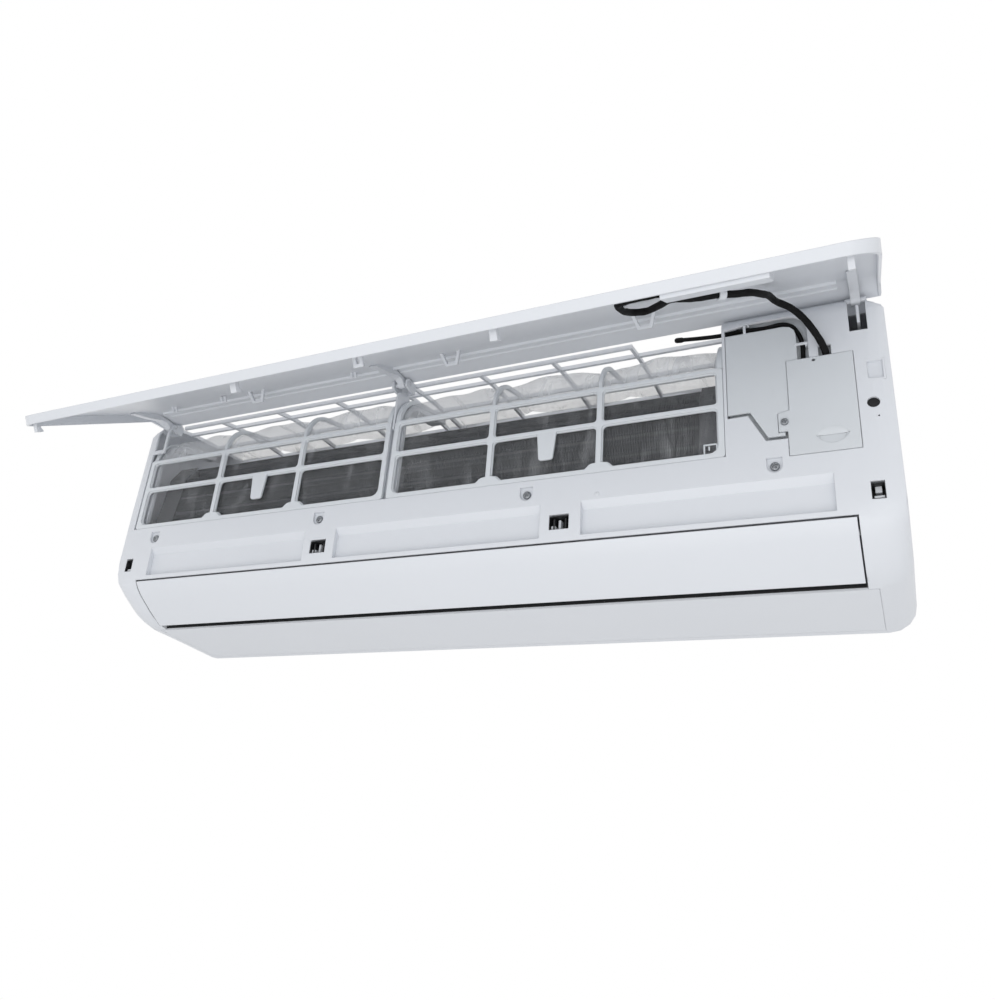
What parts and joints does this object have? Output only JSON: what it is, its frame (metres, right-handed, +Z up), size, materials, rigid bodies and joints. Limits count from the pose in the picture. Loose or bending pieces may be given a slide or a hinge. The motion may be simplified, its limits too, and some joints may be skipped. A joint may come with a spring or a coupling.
{
  "type": "mini split indoor unit",
  "caption": "Wall-mounted indoor unit of a split air conditioner with its front panel swung open over two filters, coil, electrical box and louver.",
  "frame": {"origin": "middle of the wall plate's back face, on the wall", "axes": "+X along the unit to the right seen from the room, +Y into the wall, +Z up"},
  "size_m": [0.845, 0.3398, 0.275],
  "materials": {
    "white_plastic": "satin",
    "grey_plastic": "satin",
    "black_plastic": "satin",
    "filter_plastic": "satin",
    "filter_net": "matt woven net",
    "fins": "matt",
    "zinc_steel": "zinc plated",
    "copper": "plain copper",
    "fan_plastic": "matt",
    "rubber": "matt",
    "board": "satin"
  },
  "bodies": {
    "unit": {"wall_plate": "zinc_steel", "rear_base": "grey_plastic", "front_casing": "white_plastic", "bottom_cover": "white_plastic", "top_grille": "white_plastic", "evaporator_front": "fins", "evaporator_top": "fins", "evaporator_rear": "fins", "tube_sheet_left": "copper", "tube_sheet_right": "copper", "gas_pipe": "copper", "liquid_pipe": "copper", "drain_pan": "white_plastic", "drain_plug": "rubber", "fan_motor": "zinc_steel", "motor_clamp": "zinc_steel", "fan_bearing": "rubber", "louver_motor": "white_plastic", "latch_clip_1": "black_plastic", "latch_clip_2": "black_plastic", "latch_clip_3": "black_plastic", "latch_clip_4": "black_plastic", "control_box": "grey_plastic", "circuit_board": "board", "terminal_block": "black_plastic", "box_cover": "grey_plastic", "terminal_cover": "grey_plastic", "cover_screw": "zinc_steel", "sensor_cable": "black_plastic", "casing_screw_1": "zinc_steel", "casing_screw_2": "zinc_steel", "casing_screw_3": "zinc_steel", "casing_screw_4": "zinc_steel", "display_harness": "black_plastic"},
    "fan": {"fan_wheel": "fan_plastic", "fan_shaft": "zinc_steel", "motor_shaft": "zinc_steel"},
    "louver": {"louver": "white_plastic"},
    "vane_left_1": {"vane_left_1": "black_plastic"},
    "vane_left_2": {"vane_left_2": "black_plastic"},
    "vane_left_3": {"vane_left_3": "black_plastic"},
    "vane_left_4": {"vane_left_4": "black_plastic"},
    "vane_right_1": {"vane_right_1": "black_plastic"},
    "vane_right_2": {"vane_right_2": "black_plastic"},
    "vane_right_3": {"vane_right_3": "black_plastic"},
    "vane_right_4": {"vane_right_4": "black_plastic"},
    "link_left": {"link_left": "black_plastic"},
    "link_right": {"link_right": "black_plastic"},
    "panel": {"front_panel": "white_plastic", "display_box": "white_plastic", "harness_tie": "white_plastic"},
    "filter_left": {"filter_left_frame": "filter_plastic", "filter_left_mesh": "filter_net"},
    "filter_right": {"filter_right_frame": "filter_plastic", "filter_right_mesh": "filter_net"},
    "auto_button": {"auto_button": "grey_plastic"}
  },
  "joints": [
    {"name": "fan_spin", "type": "hinge", "parent": "unit", "child": "fan", "pos_m": [0, -0.072, -0.022], "axis": [1, 0, 0], "continuous": true},
    {"name": "louver_swing", "type": "hinge", "parent": "unit", "child": "louver", "pos_m": [0, -0.1525, -0.0965], "axis": [1, 0, 0], "range_deg": [-60, 6]},
    {"name": "vane_left_1_swing", "type": "hinge", "parent": "unit", "child": "vane_left_1", "pos_m": [-0.35, -0.07448, -0.09928], "axis": [0, -0.7141, 0.7001], "range_deg": [-35, 35]},
    {"name": "vane_left_2_swing", "type": "hinge", "parent": "unit", "child": "vane_left_2", "pos_m": [-0.266, -0.07448, -0.09928], "axis": [0, -0.7141, 0.7001], "range_deg": [-35, 35]},
    {"name": "vane_left_3_swing", "type": "hinge", "parent": "unit", "child": "vane_left_3", "pos_m": [-0.182, -0.07448, -0.09928], "axis": [0, -0.7141, 0.7001], "range_deg": [-35, 35]},
    {"name": "vane_left_4_swing", "type": "hinge", "parent": "unit", "child": "vane_left_4", "pos_m": [-0.098, -0.07448, -0.09928], "axis": [0, -0.7141, 0.7001], "range_deg": [-35, 35]},
    {"name": "link_left_pin", "type": "hinge", "parent": "vane_left_1", "child": "link_left", "pos_m": [-0.35, -0.11353, -0.0834], "axis": [0, -0.7141, 0.7001], "range_deg": [-35, 35]},
    {"name": "vane_right_1_swing", "type": "hinge", "parent": "unit", "child": "vane_right_1", "pos_m": [-0.014, -0.07448, -0.09928], "axis": [0, -0.7141, 0.7001], "range_deg": [-35, 35]},
    {"name": "vane_right_2_swing", "type": "hinge", "parent": "unit", "child": "vane_right_2", "pos_m": [0.07, -0.07448, -0.09928], "axis": [0, -0.7141, 0.7001], "range_deg": [-35, 35]},
    {"name": "vane_right_3_swing", "type": "hinge", "parent": "unit", "child": "vane_right_3", "pos_m": [0.154, -0.07448, -0.09928], "axis": [0, -0.7141, 0.7001], "range_deg": [-35, 35]},
    {"name": "vane_right_4_swing", "type": "hinge", "parent": "unit", "child": "vane_right_4", "pos_m": [0.238, -0.07448, -0.09928], "axis": [0, -0.7141, 0.7001], "range_deg": [-35, 35]},
    {"name": "link_right_pin", "type": "hinge", "parent": "vane_right_1", "child": "link_right", "pos_m": [-0.014, -0.11353, -0.0834], "axis": [0, -0.7141, 0.7001], "range_deg": [-35, 35]},
    {"name": "panel_hinge", "type": "hinge", "parent": "unit", "child": "panel", "pos_m": [0, -0.1589, 0.1182], "axis": [1, 0, 0], "range_deg": [0, 60.7], "deforming": ["display_harness"]},
    {"name": "filter_left_lift", "type": "slide", "parent": "unit", "child": "filter_left", "axis": [0, 0, 1], "range_m": [0, 0.004]},
    {"name": "filter_right_lift", "type": "slide", "parent": "unit", "child": "filter_right", "axis": [0, 0, 1], "range_m": [0, 0.004]},
    {"name": "auto_button_press", "type": "slide", "parent": "unit", "child": "auto_button", "axis": [0, 1, 0], "range_m": [0, 0.0015], "stiffness_N_per_m": 400, "springref_m": -0.0005}
  ],
  "couplings": [
    {"joint": "vane_left_2_swing", "follows": "vane_left_1_swing", "ratio": 1},
    {"joint": "vane_left_3_swing", "follows": "vane_left_1_swing", "ratio": 1},
    {"joint": "vane_left_4_swing", "follows": "vane_left_1_swing", "ratio": 1},
    {"joint": "link_left_pin", "follows": "vane_left_1_swing", "ratio": -1},
    {"joint": "vane_right_2_swing", "follows": "vane_right_1_swing", "ratio": 1},
    {"joint": "vane_right_3_swing", "follows": "vane_right_1_swing", "ratio": 1},
    {"joint": "vane_right_4_swing", "follows": "vane_right_1_swing", "ratio": 1},
    {"joint": "link_right_pin", "follows": "vane_right_1_swing", "ratio": -1}
  ]
}
